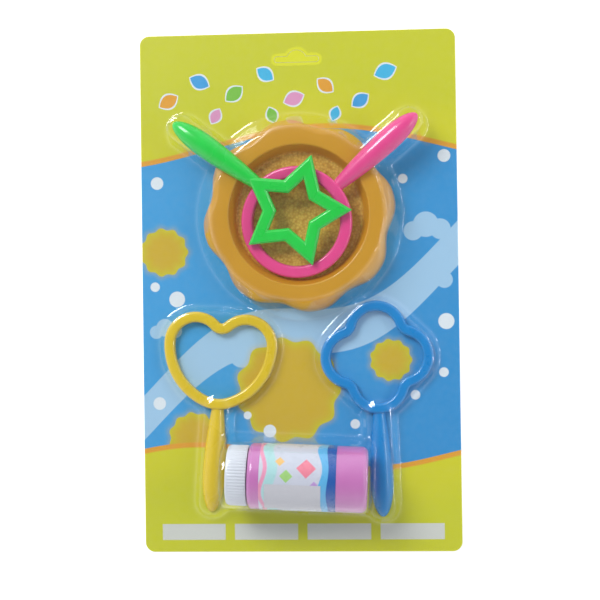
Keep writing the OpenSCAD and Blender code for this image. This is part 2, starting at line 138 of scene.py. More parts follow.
def over(under, colour, mask):
    """A colour laid over another through a mask."""
    return mask.node("ShaderNodeMix", {"data_type": "RGBA"}, {0: mask, 6: under, 7: colour}, 2)


def bumped(height, strength, distance):
    return height.node("ShaderNodeBump", {}, {"Strength": strength, "Distance": distance, "Height": height})


def surface(place, sockets):
    """Ends a material with a Principled shader that has these sockets."""
    shader = place.node("ShaderNodeBsdfPrincipled", {}, sockets)
    place.node("ShaderNodeOutputMaterial", {}, {"Surface": shader})


def painted(piece, material):
    """Gives a piece one material in place of those it has."""
    piece.data.materials.clear()
    piece.data.materials.append(material)


board_white = screen(232, 230, 222)
print_yellow = screen(208, 206, 24)
print_lime = screen(200, 202, 28)
print_orange = screen(226, 158, 38)
print_blue = screen(60, 158, 216)
print_deep_blue = screen(38, 140, 202)
print_pale_blue = screen(160, 200, 228)
print_gold = screen(206, 172, 36)
print_white = screen(224, 232, 236)
print_pink = screen(222, 150, 190)
print_green = screen(120, 190, 60)
print_cyan = screen(60, 180, 222)
print_grey = screen(208, 210, 200)

# The sky's slanting fade, and the pale ribbon that waves up across it
sky_middle = 20 * mm
sky_fade = 160 * mm
ribbon_drop = 25 * mm
ribbon_half = 14 * mm
ribbon_wave = (16 * mm, 34, 0)
# The yellow fields' mean edges and waves, their border, and the lime they fade to further in
top_field_y = 94 * mm
foot_field_y = -106 * mm
top_wave = (12 * mm, 22, 1.2)
foot_wave = (8 * mm, 30, 0.4)
field_border = 3.2 * mm
field_soft = 1.2 * mm
lime_in = 20 * mm
lime_fade = 30 * mm
# The bare panels along the foot
panel_count = 4
panel_pitch = 46 * mm
panel_w = 40 * mm
panel_h = 10 * mm
panel_y = -151.5 * mm
# Print in millimetres. Clouds: middle and scale, with the middle and radius of each one's rounds.
clouds = [((80, 38), 1.0), ((84, 6), 0.8), ((-48, -40), 1.2), ((24, -26), 0.9), ((-86, -24), 0.7)]
cloud_rounds = [((-8, -1), 6), ((0, 3), 8), ((9, 0), 6.5)]
# Scalloped suns: middle and radius
suns = [((-8, -62), 31), ((-86, 26), 14), ((84, 112), 17), ((-68, -92), 15), ((57, -44), 12)]
sun_scallops = 11
sun_wave = 0.05
sun_outline = 0.8 * mm
gold_in = 0.6 * mm
gold_fade = 12 * mm
# Leaves: middle, length, turn and colour
leaves = [((-82, 122), 13, 30, print_orange), ((-62, 134), 13, -25, print_blue),
          ((-40, 126), 13, 40, print_green), ((-20, 138), 12, -35, print_cyan),
          ((-2, 122), 13, 20, print_pink), ((18, 130), 12, -40, print_orange),
          ((40, 120), 12, 35, print_blue), ((-52, 112), 10, 60, print_pink),
          ((-16, 112), 10, -70, print_green), ((56, 138), 14, 20, print_cyan),
          ((24, 112), 9, 70, print_cyan)]
leaf_width = 0.32
leaf_outline = 1.1 * mm
# Dots: middle and radius
dots = [((-92, 4), 3), ((-78, -4), 5), ((92, -20), 5), ((90, -52), 3), ((-90, -70), 4), ((-20, -88), 4),
        ((34, -84), 3), ((66, 70), 3), ((92, 84), 4), ((-90, 70), 4), ((-34, -78), 2.5), ((72, -66), 3)]


def printed_card():
    """The print on the board's face, white board on its edges and back."""
    material, place = new_material("card_print")
    parts = place.node("ShaderNodeSeparateXYZ", {}, {0: place})
    x = parts.out("X")
    y = parts.out("Y")
    # The sky: a blue that deepens to the right and down, with a pale ribbon and clouds on it
    ink = over(print_blue, print_deep_blue, inside(sky_middle - 0.5 * x + 0.2 * y, sky_fade))
    ribbon = y + ribbon_drop - 0.5 * x + waved(x, *ribbon_wave)
    ink = over(ink, print_pale_blue, inside(abs(ribbon) - ribbon_half))
    for middle, scale in clouds:
        for offset, radius in cloud_rounds:
            away = away_from(x, y, (Vector(middle) + scale * Vector(offset)) * mm)
            ink = over(ink, print_pale_blue, inside(away - scale * radius * mm))
    # Suns with a scalloped edge, a pale outline and a golden middle
    for middle, radius in suns:
        middle = Vector(middle) * mm
        turn = x.math("ARCTAN2", y - middle.y, x - middle.x)
        scallop = 1 + sun_wave * turn.math("COSINE", turn * sun_scallops)
        edge = away_from(x, y, middle) - radius * mm * scallop
        ink = over(ink, print_lime, inside(edge - sun_outline))
        ink = over(ink, print_gold, inside(edge + gold_in, gold_fade))
    # Yellow fields at the top and the foot, each with a wavy orange border
    top_edge = top_field_y + waved(x, *top_wave) - y
    foot_edge = y - foot_field_y + waved(x, *foot_wave)
    for edge in (top_edge, foot_edge):
        ink = over(ink, print_orange, inside(edge - field_border))
        ink = over(ink, print_yellow, inside(edge, field_soft))
        ink = over(ink, print_lime, inside(edge + lime_in, lime_fade))
    # Leaves in many colours with a pale outline, on the top field
    for middle, length, turn, colour in leaves:
        middle = Vector(middle) * mm
        length *= mm
        cosine = math.cos(math.radians(turn))
        sine = math.sin(math.radians(turn))
        along = (x - middle.x) * cosine + (y - middle.y) * sine
        beside = (y - middle.y) * cosine - (x - middle.x) * sine
        edge = abs(beside) - leaf_width * length * (1 - (along / (length / 2)) ** 2)
        ink = over(ink, print_white, inside(edge - leaf_outline))
        ink = over(ink, colour, inside(edge))
    for middle, radius in dots:
        ink = over(ink, print_white, inside(away_from(x, y, Vector(middle) * mm) - radius * mm))
    row_half = panel_count * panel_pitch / 2
    step = x.math("MODULO", x + row_half, panel_pitch)
    across = (abs(step - panel_pitch / 2) - panel_w / 2).largest(abs(x) - row_half)
    ink = over(ink, print_grey, inside(across.largest(abs(y - panel_y) - panel_h / 2)))
    face = place.node("ShaderNodeSeparateXYZ", {}, {0: place.out("Normal")}, "Z")
    ink = over(board_white, ink, face.math("GREATER_THAN", face, 0.5))
    mottle = noise(place, 260, 4)
    ink = over(ink, board_white, mottle * 0.05)
    surface(place, {"Base Color": ink, "Roughness": 0.3 + 0.12 * mottle, "Coat Weight": 0.15,
                    "Normal": bumped(noise(place, 900, 3), 0.08, 0.05 * mm)})
    return material


card_print = printed_card()
painted(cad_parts["backing_card"], card_print)

# The flap in the hang slot: the same board, cut through on its upper edge and creased on its
# lower one, so that it folds back when the card is hung up.
painted(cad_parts["hang_flap"], card_print)

# The dip dish: one moulding in orange-yellow plastic with eight soft scallops round its shoulder,
# a round well with a pebbled floor, and a hollow underside. It lies loose on the card.
face_z = 0.7 * mm
tray_at = Vector((0.6 * mm, 47.6 * mm, face_z))
tray_r = 61 * mm
tray_h = 12 * mm
tray_wall = 1.5 * mm
crown_r = 60.4 * mm
rim_round = 6.5 * mm
rim_drop = 0.8 * rim_round
well_r = 43.5 * mm
well_floor_r = 40.5 * mm
well_fillet = 2 * mm
well_draft = 0.6 * mm
rim_edge = 1.4 * mm
floor_lift = 0.7 * mm
scallop_count = 8
scallop_depth = 4.5 * mm
scallop_turn = math.radians(10)
tray_sides = 192
axis_r = 0.02 * mm
weld_gap = 0.05 * mm


def welded():
    """Welds what was drawn, closes its open ends, turns its faces outward and leaves edit mode."""
    bpy.ops.mesh.select_all(action="SELECT")
    bpy.ops.mesh.remove_doubles(threshold=weld_gap)
    bpy.ops.mesh.select_all(action="SELECT")
    bpy.ops.mesh.fill_holes(sides=0)
    bpy.ops.mesh.select_all(action="SELECT")
    bpy.ops.mesh.normals_make_consistent(inside=False)
    bpy.ops.object.mode_set(mode="OBJECT")


def turned(name, rings, sides):
    """A turned piece about the Z axis: a round of edges, drawn out and widened ring by ring."""
    radius, height = rings[0]
    bpy.ops.object.select_all(action="DESELECT")
    bpy.ops.mesh.primitive_circle_add(vertices=sides, radius=radius, location=(0, 0, height))
    piece = bpy.context.object
    piece.name = name
    bpy.ops.object.transform_apply()
    bpy.ops.object.mode_set(mode="EDIT")
    bpy.ops.mesh.select_all(action="SELECT")
    for wider, higher in rings[1:]:
        bpy.ops.mesh.extrude_edges_move(TRANSFORM_OT_translate={"value": (0, 0, higher - height)})
        growth = wider / radius
        bpy.ops.transform.resize(value=(growth, growth, 1), center_override=(0, 0, higher))
        radius, height = wider, higher
    # A ring on the axis becomes a pole, and a last ring on the first one closes the section
    welded()
    return piece


def alone(piece):
    """Selects one piece and nothing else."""
    bpy.ops.object.select_all(action="DESELECT")
    piece.select_set(True)
    bpy.context.view_layer.objects.active = piece


def laid(piece, place):
    """Moves a piece by a matrix and leaves its object at the origin."""
    alone(piece)
    piece.matrix_world = place
    bpy.ops.object.transform_apply()


def smooth(piece, degrees):
    alone(piece)
    bpy.ops.object.shade_smooth_by_angle(angle=math.radians(degrees))


def dressed(piece, material, body, node):
    """Gives a piece its material, its body and the node that it stands for."""
    painted(piece, material)
    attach(piece, body)
    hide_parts(node)


def bend(middle, radius, start, end, steps):
    """Points of an arc in a section: middle, radius and two angles in degrees."""
    points = []
    for step in range(steps + 1):
        angle = math.radians(start + (end - start) * step / steps)
        points.append((middle[0] + radius * math.cos(angle), middle[1] + radius * math.sin(angle)))
    return points


def shoulder(inset, steps):
    """The dish's shoulder as points of an ellipse from the crown to the skirt, outer or inner skin."""
    points = []
    for step in range(steps + 1):
        angle = math.radians(90 - 90 * step / steps)
        points.append((crown_r - rim_round + (rim_round - inset) * math.cos(angle),
                       tray_h - rim_drop + (rim_drop - inset) * math.sin(angle)))
    return points


floor_z = floor_lift + tray_wall
upper_skin = [(axis_r, floor_z), (0.5 * well_floor_r, floor_z)]
upper_skin += bend((well_floor_r - well_fillet, floor_z + well_fillet), well_fillet, -90, -15, 6)
upper_skin += bend((well_r + rim_edge, tray_h - rim_edge), rim_edge, 165, 90, 6)
upper_skin += shoulder(0, 14) + [(tray_r, 0)]
under_skin = [(tray_r - tray_wall, 0)] + shoulder(tray_wall, 8)[::-1]
under_skin += [(well_r + rim_edge, tray_h - tray_wall), (well_r + well_draft, tray_h - 2 * tray_wall)]
under_skin += [(well_floor_r + tray_wall, floor_z), (well_floor_r, floor_lift), (axis_r, floor_lift)]
tray = turned("tray_dish", upper_skin + under_skin, tray_sides)
for corner in tray.data.vertices:
    radius = corner.co.xy.length
    angle = math.atan2(corner.co.y, corner.co.x)
    share = min(1, max(0, (radius - well_r - rim_edge) / (crown_r - well_r - rim_edge)))
    dip = scallop_depth * share * share * (3 - 2 * share)
    dip *= abs(math.sin(scallop_count / 2 * (angle - scallop_turn))) ** 3
    if radius > axis_r:
        corner.co.xy *= 1 - dip / radius
laid(tray, Matrix.Translation(tray_at))
smooth(tray, 50)

tray_material, place = new_material("tray_plastic")
parts = place.node("ShaderNodeSeparateXYZ", {}, {0: place})
well = inside(away_from(parts.out("X"), parts.out("Y"), tray_at) - well_floor_r, 2 * mm)
pebble = place.node("ShaderNodeTexVoronoi", {}, {"Vector": place, "Scale": 620})
cloud = noise(place, 45, 3)
orange = over(screen(196, 140, 24), screen(206, 150, 30), cloud)
# The well's floor is painted lighter than the rim, with light and dark speckles on its pebbles: painted
# glints and painted shade over the same orange plastic
floor_glints = over(screen(240, 204, 96), screen(190, 138, 48), pebble)
grain = noise(place, 1400, 2)
tray_height = grain * (1 - well) * 0.12 + pebble * well
surface(place, {"Base Color": over(orange, floor_glints, well),
                "Roughness": 0.34 + 0.1 * cloud - 0.16 * well, "Coat Weight": 0.3,
                "Normal": bumped(tray_height, 0.6, 0.35 * mm)})
dressed(tray, tray_material, "tray", "tray")

# The ring wand: pink plastic in one moulding, a flat ring with rounded upper edges and a half-round
# handle with an open ribbed back. It leans with its far edge in the well and its handle on the rim.
bar_h = 5 * mm
bar_round = 1.8 * mm
bend_step = 3
handle_l = 65 * mm
handle_peak = 42 * mm
neck_r = 4 * mm
handle_r = 7.3 * mm
handle_wall = 1.6 * mm
handle_sides = 64
handle_steps = 12
neck_solid = 7 * mm
rib_count = 4
rib_t = 1.2 * mm
back_step = 0.03 * mm
ring_r = 35 * mm
ring_bar = 7.6 * mm
ring_at = Vector((-0.5 * mm, 43.3 * mm, 7.38 * mm))
ring_dir = 40.5
ring_tilt = 6.859


def bar_loop(name, width, start, bends):
    """A loop's bar: its section, drawn round bends, each a sweep in degrees and a middle, until it closes.

    The section stands upright along X, with its outer edge at the start."""
    bpy.ops.object.select_all(action="DESELECT")
    bpy.ops.mesh.primitive_plane_add(size=1, rotation=(math.pi / 2, 0, 0),
                                     location=(start[0] - width / 2, start[1], bar_h / 2))
    loop = bpy.context.object
    loop.name = name
    loop.scale = (width, bar_h, 1)
    bpy.ops.object.transform_apply()
    bpy.ops.object.mode_set(mode="EDIT")
    section = bmesh.from_edit_mesh(loop.data)
    for corner in section.verts:
        corner.select_set(corner.co.z > bar_h / 2)
    section.select_flush_mode()
    bmesh.update_edit_mesh(loop.data)
    bpy.ops.mesh.bevel(offset=bar_round, offset_type="OFFSET", segments=6, affect="VERTICES")
    bpy.ops.mesh.select_all(action="SELECT")
    bpy.ops.mesh.delete(type="ONLY_FACE")
    bpy.ops.mesh.select_all(action="SELECT")
    for sweep, middle in bends:
        steps = max(6, round(abs(sweep) / bend_step))
        bpy.ops.mesh.spin(steps=steps, angle=-math.radians(sweep), center=middle, axis=(0, 0, 1))
    welded()
    return loop


def modified(piece, kind, **settings):
    """Adds a modifier with these settings to a piece and applies it."""
    bpy.context.view_layer.objects.active = piece
    change = piece.modifiers.new("change", kind)
    for name, setting in settings.items():
        setattr(change, name, setting)
    bpy.ops.object.modifier_apply(modifier="change")


def combine(piece, other, operation):
    """Joins another closed piece to this one, or cuts it away, and removes the other."""
    modified(piece, "BOOLEAN", operation=operation, solver="MANIFOLD", object=other)
    bpy.data.objects.remove(other)


def half_width(along):
    """Half a handle's width at a distance from the neck: a slow swell, then a round end."""
    if along < handle_peak:
        return neck_r + (handle_r - neck_r) * math.sin(math.pi / 2 * max(0, along) / handle_peak)
    reach = min(1, (along - handle_peak) / (handle_l - handle_peak))
    return max(axis_r, handle_r * math.sqrt(1 - reach * reach))


def block(middle, size):
    """A plain block, for ribs and cuts."""
    bpy.ops.object.select_all(action="DESELECT")
    bpy.ops.mesh.primitive_cube_add(size=1, location=middle, scale=size)
    bpy.ops.object.transform_apply()
    return bpy.context.object


def handle(name, root, start):
    """A half-round handle along -Y with a hollow, ribbed back. Its root runs into the loop."""
    shares = [step / handle_steps for step in range(handle_steps + 1)]
    lengths = [handle_peak * share for share in shares]
    lengths += [handle_peak + (handle_l - handle_peak) * math.sin(math.pi / 2 * share)
                for share in shares[1:]]
    outer = [(neck_r, -root)] + [(half_width(along), along) for along in lengths]
    grip = turned(name, outer, handle_sides)
    back = block((0, -2 * handle_r, handle_l / 2), (6 * handle_r, 4 * handle_r, 2 * handle_l))
    combine(grip, back, "DIFFERENCE")
    cavity_end = handle_l - 2 * handle_wall
    inner = [(axis_r, neck_solid), (half_width(neck_solid) - handle_wall, neck_solid)]
    inner += [(half_width(along) - handle_wall, along) for along in lengths
              if neck_solid < along < cavity_end]
    inner += [(axis_r, cavity_end)]
    cavity = turned(name + "_cavity", inner, handle_sides)
    rib_pitch = (cavity_end - neck_solid) / (rib_count + 1)
    for rib in range(1, rib_count + 1):
        plate = block((0, 0, neck_solid + rib * rib_pitch), (3 * handle_r, 3 * handle_r, rib_t))
        combine(cavity, plate, "DIFFERENCE")
    combine(grip, cavity, "DIFFERENCE")
    # The back lies a hair above the loop's, so that the two join without shared faces
    laid(grip, Matrix.Translation((0, -start, back_step)) @ Matrix.Rotation(math.pi / 2, 4, "X"))
    return grip


def leaning(at, turn, lean_to, tilt):
    """The place of a flat wand that lies at a point, turned, and raised towards a direction."""
    lean = Matrix.Rotation(math.radians(lean_to), 4, "Z") @ Matrix.Rotation(-math.radians(tilt), 4, "Y")
    lean = lean @ Matrix.Rotation(-math.radians(lean_to), 4, "Z")
    return Matrix.Translation(at) @ lean @ Matrix.Rotation(math.radians(turn), 4, "Z")


def moulded(name, colour, low_colour, roughness):
    """Glossy moulded plastic: a slightly clouded colour, uneven gloss and faint flow marks."""
    material, place = new_material(name)
    cloud = noise(place, 50, 3)
    flow = place.node("ShaderNodeTexWave", {}, {"Vector": place, "Scale": 30, "Distortion": 12, "Detail": 2})
    grain = noise(place, 1500, 2)
    surface(place, {"Base Color": over(low_colour, colour, cloud * 0.8 + flow * 0.2),
                    "Roughness": roughness + 0.08 * cloud, "Coat Weight": 0.7,
                    "Normal": bumped(grain + 0.5 * flow, 0.1, 0.06 * mm)})
    return material


ring = bar_loop("ring_loop", ring_bar, (ring_r, 0), [(360, (0, 0, 0))])
combine(ring, handle("ring_handle", ring_bar / 2, ring_r), "UNION")
laid(ring, leaning(ring_at, ring_dir + 90, ring_dir, ring_tilt))
smooth(ring, 40)
pink = moulded("pink_plastic", screen(238, 76, 146), screen(230, 66, 136), 0.22)
dressed(ring, pink, "ring_wand", "ring_wand")

# The star wand: green plastic, a flat five-pointed star with bevelled edges and the same handle.
# It lies across the ring and the dish's rim.
star_r = 36 * mm
star_notch_r = 20 * mm
star_bar = 8 * mm
star_bevel = 1.4 * mm
star_soft = 0.4 * mm
star_at = Vector((-1.4 * mm, 50.1 * mm, 13.856 * mm))
star_dir = 143.5
star_lean_to = 52.544
star_tilt = 6.686
star_neck = 29.26 * mm

bpy.ops.object.select_all(action="DESELECT")
bpy.ops.mesh.primitive_circle_add(vertices=10, radius=star_r)
star = bpy.context.object
star.name = "star_loop"
bpy.ops.object.mode_set(mode="EDIT")
points = bmesh.from_edit_mesh(star.data)
for corner in points.verts:
    corner.select_set(corner.index % 2 == 0)
points.select_flush_mode()
bmesh.update_edit_mesh(star.data)
notch = star_notch_r / star_r
bpy.ops.transform.resize(value=(notch, notch, 1), center_override=(0, 0, 0))

# All of a star's edges lie equally far from its middle, so each line of the bar's section is the
# same star at another scale: up the outer wall, over the bevels and down the inner wall
tip_point = Vector((star_r, 0))
notch_point = star_notch_r * Vector((math.cos(math.pi / 5), math.sin(math.pi / 5)))
edge_away = tip_point.x * notch_point.y / (notch_point - tip_point).length
bpy.ops.mesh.select_all(action="SELECT")
scale = 1
height = 0
star_lines = [(0, bar_h - star_bevel), (star_bevel, bar_h), (star_bar - star_bevel, bar_h),
              (star_bar, bar_h - star_bevel), (star_bar, 0), (0, 0)]
for inset, higher in star_lines:
    bpy.ops.mesh.extrude_edges_move(TRANSFORM_OT_translate={"value": (0, 0, higher - height)})
    growth = (1 - inset / edge_away) / scale
    bpy.ops.transform.resize(value=(growth, growth, 1), center_override=(0, 0, higher))
    scale *= growth
    height = higher
welded()
modified(star, "BEVEL", width=star_soft, segments=3, limit_method="ANGLE", angle_limit=math.radians(30))
combine(star, handle("star_handle", 0, star_neck), "UNION")
laid(star, leaning(star_at, star_dir + 90, star_lean_to, star_tilt))
smooth(star, 30)
green = moulded("green_plastic", screen(24, 212, 74), screen(14, 200, 60), 0.24)
dressed(star, green, "star_wand", "star_wand")

# The heart wand: yellow plastic, a heart-shaped loop of rounded bar and the same handle, flat on
# the card. Two round lobes run on into long bowed sides, and those into a broad round tip.
heart_lobe_r = 20 * mm
heart_lobe_x = 15.9 * mm
heart_lobe_y = 41.1 * mm
heart_cleft_r = 2.5 * mm
heart_tip_r = 24 * mm
heart_bar = 6.8 * mm
heart_at = Vector((-52.995 * mm, -74 * mm, face_z))
heart_turn = -4
heart_half = heart_lobe_x + heart_lobe_r
# A side's round has its middle level with the lobes', and runs smoothly into a lobe and the tip
heart_side_r = heart_half ** 2 + heart_lobe_y ** 2 - 2 * heart_lobe_y * heart_tip_r
heart_side_r /= 2 * heart_half - 2 * heart_tip_r
heart_side_x = heart_half - heart_side_r
heart_sweep = math.degrees(math.atan2(heart_lobe_y - heart_tip_r, -heart_side_x))
heart_cleft_y = heart_lobe_y + math.sqrt((heart_lobe_r + heart_cleft_r) ** 2 - heart_lobe_x ** 2)
heart_cleft = 90 + math.degrees(math.atan2(heart_lobe_x, heart_cleft_y - heart_lobe_y))
heart = bar_loop("heart_loop", heart_bar, (heart_half, heart_lobe_y), [
    (heart_cleft, (heart_lobe_x, heart_lobe_y, 0)),
    (180 - 2 * heart_cleft, (0, heart_cleft_y, 0)),
    (heart_cleft, (-heart_lobe_x, heart_lobe_y, 0)),
    (heart_sweep, (-heart_side_x, heart_lobe_y, 0)),
    (180 - 2 * heart_sweep, (0, heart_tip_r, 0)),
    (heart_sweep, (heart_side_x, heart_lobe_y, 0))])
combine(heart, handle("heart_handle", heart_bar / 2, 0), "UNION")
laid(heart, Matrix.Translation(heart_at) @ Matrix.Rotation(math.radians(heart_turn), 4, "Z"))
smooth(heart, 40)
yellow = moulded("yellow_plastic", screen(228, 196, 36), screen(218, 186, 30), 0.24)
dressed(heart, yellow, "heart_wand", "heart_wand")

# The flower wand: blue plastic, a loop of four wide rounds joined by small bends in the dips, and
# the same handle, flat on the card.
flower_reach = 35.5 * mm
flower_dip_r = 4 * mm
flower_dip_at = 22.6 * mm
flower_bar = 6.6 * mm
flower_at = Vector((48.203 * mm, -41.9 * mm, face_z))
flower_turn = 1.5
# A petal's round reaches as far as the flower does, and touches the rounds of the dips beside it
outer_reach = flower_reach + flower_dip_r
flower_pitch = (outer_reach ** 2 - 2 * flower_dip_at ** 2) / (2 * outer_reach - 2 * flower_dip_at)
flower_lobe_r = flower_reach - flower_pitch
half_petal = math.degrees(math.atan2(flower_dip_at, flower_dip_at - flower_pitch))
flower_bends = []
for petal in range(4):
    quarter = Matrix.Rotation(math.radians(90 * petal), 3, "Z")
    flower_bends += [(half_petal, quarter @ Vector((flower_pitch, 0, 0))),
                     (90 - 2 * half_petal, quarter @ Vector((flower_dip_at, flower_dip_at, 0))),
                     (half_petal, quarter @ Vector((0, flower_pitch, 0)))]
flower = bar_loop("flower_loop", flower_bar, (flower_reach, 0), flower_bends)
combine(flower, handle("flower_handle", flower_bar / 2, flower_reach), "UNION")
laid(flower, Matrix.Translation(flower_at) @ Matrix.Rotation(math.radians(flower_turn), 4, "Z"))
smooth(flower, 40)
blue = moulded("blue_plastic", screen(0, 138, 208), screen(0, 126, 196), 0.24)
dressed(flower, blue, "flower_wand", "flower_wand")

# The bottle: blown in pink plastic with round shoulders, a round base edge and a hollowed base,
# lying on the card with its cap to the left. It is modelled standing up and then laid down.
bottle_r = 20.2 * mm
bottle_h = 73 * mm
bottle_wall = 1 * mm
base_round = 4 * mm
base_hollow = 1.2 * mm
hollow_r = 0.6 * bottle_r
foot_r = 0.7 * bottle_r
shoulder_round = 3 * mm
neck_outer_r = 14 * mm
neck_bore_r = 12.2 * mm
mouth_z = 82.7 * mm
bottle_sides = 128
axis_z = 21.07 * mm
bottle_turn = -2.5
bottle_at = Vector((41.509 * mm, -116.582 * mm, axis_z))
laid_down = Matrix.Translation(bottle_at) @ Matrix.Rotation(math.radians(bottle_turn), 4, "Z")
laid_down = laid_down @ Matrix.Rotation(-math.pi / 2, 4, "Y")
inner_r = bottle_r - bottle_wall
inner_base = base_hollow + bottle_wall
inner_foot = 1.8 * bottle_wall
bottle_section = [(axis_r, base_hollow), (hollow_r, base_hollow), (foot_r, 0)]
bottle_section += bend((bottle_r - base_round, base_round), base_round, -90, 0, 10)
bottle_section += bend((bottle_r - shoulder_round, bottle_h - shoulder_round), shoulder_round, 0, 90, 10)
bottle_section += [(neck_outer_r, bottle_h), (neck_outer_r, mouth_z), (neck_bore_r, mouth_z)]
bottle_section += [(neck_bore_r, bottle_h - bottle_wall), (inner_r, bottle_h - shoulder_round)]
bottle_section += [(inner_r, base_round), (inner_r - base_round, inner_foot)]
bottle_section += [(hollow_r, inner_base), (axis_r, inner_base)]
bottle = turned("bottle_shell", bottle_section, bottle_sides)
laid(bottle, laid_down)
smooth(bottle, 40)
bottle_pink = moulded("bottle_plastic", screen(204, 122, 186), screen(194, 110, 176), 0.26)
dressed(bottle, bottle_pink, "bottle", "bottle_body")

# The bubble solution: clear pink liquid that fills most of the bottle. The bottle hides it, so
# the CAD body of it stays.
solution_material, place = new_material("bubble_liquid")
swirl = noise(place, 30, 2)
surface(place, {"Base Color": over(screen(236, 180, 214), screen(226, 166, 204), swirl),
                "Roughness": 0.05 + 0.03 * swirl})
painted(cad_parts["bubble_solution"], solution_material)

# The wrap label: glossy printed paper glued round the bottle, with its seam underneath. A pale
# ground with soft bands of colour and a dark blue band at the base end.
label_r = 20.22 * mm
label_t = 0.15 * mm
label_h = 46.5 * mm
label_rise = 19 * mm
label_seam = 8
wrap_step = 2.5
label_wave = (1.6 * mm, 210, 0)
# Printed stripes in millimetres: place along the bottle, half width, softness and colour
stripes = [(40, 3, 1.5, screen(170, 214, 214)), (44.5, 1.2, 0.6, screen(232, 150, 180))]
# Printed bands at the base end in millimetres: width, share of the wave, softness and colour
base_bands = [(10, 1, 0.8, screen(92, 176, 224)), (5.2, 0.4, 0.6, screen(30, 88, 166))]
# Printed diamonds in millimetres: place along the bottle and around it, reach and colour
diamonds = [(18, 8, 6, screen(236, 130, 150)), (30, 3, 4, screen(160, 206, 120)),
            (24, -6, 3, screen(120, 190, 226)), (34, 12, 3, screen(240, 190, 110)),
            (13, -2, 2.5, screen(190, 150, 210))]


def wrapper(name, radius, rise, height, start, sweep):
    """A thin wrapper round the bottle, spun from its own section. Angles are from the bottle's top side."""
    bpy.ops.object.select_all(action="DESELECT")
    bpy.ops.mesh.primitive_plane_add(size=1, rotation=(math.pi / 2, 0, 0),
                                     location=(radius + label_t / 2, 0, rise + height / 2))
    sheet = bpy.context.object
    sheet.name = name
    sheet.scale = (label_t, height, 1)
    bpy.ops.object.transform_apply()
    laid(sheet, Matrix.Rotation(math.radians(start), 4, "Z"))
    bpy.ops.object.mode_set(mode="EDIT")
    bpy.ops.mesh.select_all(action="SELECT")
    steps = round(sweep / wrap_step)
    bpy.ops.mesh.spin(steps=steps, angle=-math.radians(sweep), center=(0, 0, 0), axis=(0, 0, 1))
    bpy.ops.mesh.select_all(action="SELECT")
    bpy.ops.mesh.normals_make_consistent(inside=False)
    bpy.ops.object.mode_set(mode="OBJECT")
    laid(sheet, laid_down)
    smooth(sheet, 30)
    return sheet


label = wrapper("wrap_label", label_r, label_rise, label_h, 180 + label_seam / 2, 360 - label_seam)
label_material, place = new_material("label_paper")
own = place.node("ShaderNodeMapping", {"vector_type": "TEXTURE"},
                 {"Vector": place, "Location": bottle_at, "Rotation": (0, 0, math.radians(bottle_turn))})
parts = own.node("ShaderNodeSeparateXYZ", {}, {0: own})
along = parts.out("X") * -1 - label_rise
around = own.math("ARCTAN2", parts.out("Y"), parts.out("Z")) * label_r
wave = waved(around, *label_wave)
paper = over(screen(208, 207, 218), screen(196, 204, 218), noise(place, 90, 3))
for rise, half, soft, tone in stripes:
    paper = over(paper, tone, inside(abs(along - rise * mm + wave) - half * mm, soft * mm))
for rise, turn, reach, tone in diamonds:
    away = abs(along - rise * mm) + abs(around - turn * mm)
    paper = over(paper, tone, inside(away - reach * mm, 0.6 * mm))
for width, share, soft, tone in base_bands:
    paper = over(paper, tone, inside(along + share * wave - width * mm, soft * mm))
surface(place, {"Base Color": paper, "Roughness": 0.24 + 0.08 * noise(place, 200, 3), "Coat Weight": 0.3,
                "Normal": bumped(noise(place, 160, 3), 0.08, 0.1 * mm)})
dressed(label, label_material, "bottle", "bottle_label")

# The sticker: a bare white paper sticker, pressed by hand on the near side of the label, a hair
# above the print.
sticker_w = 34 * mm
sticker_angle = 54
sticker_shift = 9 * mm
sticker_drop = 6
sticker_gap = 0.02 * mm
sticker = wrapper("white_sticker", label_r + label_t + sticker_gap, label_rise + sticker_shift, sticker_w,
                  -sticker_angle - sticker_drop, sticker_angle)
sticker_material, place = new_material("sticker_paper")
fibre = noise(place, 700, 4)
surface(place, {"Base Color": over(screen(192, 191, 197), screen(206, 204, 209), fibre),
                "Roughness": 0.5 + 0.1 * fibre, "Normal": bumped(fibre, 0.15, 0.05 * mm)})
dressed(sticker, sticker_material, "bottle", "bottle_sticker")

# The liner: a white foam disc that seals the mouth inside the cap. The cap hides it, so the CAD
# disc stays.
liner_material, place = new_material("liner_foam")
cells = place.node("ShaderNodeTexVoronoi", {}, {"Vector": place, "Scale": 1500})
surface(place, {"Base Color": over(screen(228, 228, 224), screen(214, 214, 210), cells),
                "Roughness": 0.7 + 0.1 * cells, "Normal": bumped(cells, 0.3, 0.1 * mm)})
painted(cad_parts["cap_liner"], liner_material)

# The screw cap: moulded in white plastic, with sixty fine grip ribs round its skirt and a rounded
# top edge. It screws on the bottle's neck over the liner.
cap_r = 18.6 * mm
cap_h = 12.8 * mm
cap_wall = 1.5 * mm
cap_edge = 1.2 * mm
cap_ribs = 60
cap_rib_depth = 0.4 * mm
cap_rib_end = 1.2 * mm
cap_bore_r = 14.3 * mm
cap_z = 73.5 * mm
cap_travel = 2.5 * mm
cap_lip_in = 0.3 * mm
cap_lip_up = 0.4 * mm
cap_top = cap_z + cap_h
cap_section = [(cap_bore_r, cap_z), (cap_r - cap_lip_in, cap_z), (cap_r, cap_z + cap_lip_up)]
cap_section += [(cap_r, cap_top - cap_edge - cap_rib_end)]
cap_section += bend((cap_r - cap_edge - cap_rib_depth, cap_top - cap_edge), cap_edge, 0, 90, 8)
cap_section += [(0.5 * cap_r, cap_top), (axis_r, cap_top), (axis_r, cap_top - cap_wall)]
cap_section += [(cap_bore_r, cap_top - cap_wall), (cap_bore_r, cap_z + 0.2 * weld_gap)]
cap = turned("ribbed_cap", cap_section, 6 * cap_ribs)
for corner in cap.data.vertices:
    radius = corner.co.xy.length
    if radius > cap_r - cap_lip_in - weld_gap:
        angle = math.atan2(corner.co.y, corner.co.x)
        corner.co.xy *= 1 - cap_rib_depth * (0.5 - 0.5 * math.cos(cap_ribs * angle)) / radius
laid(cap, laid_down)
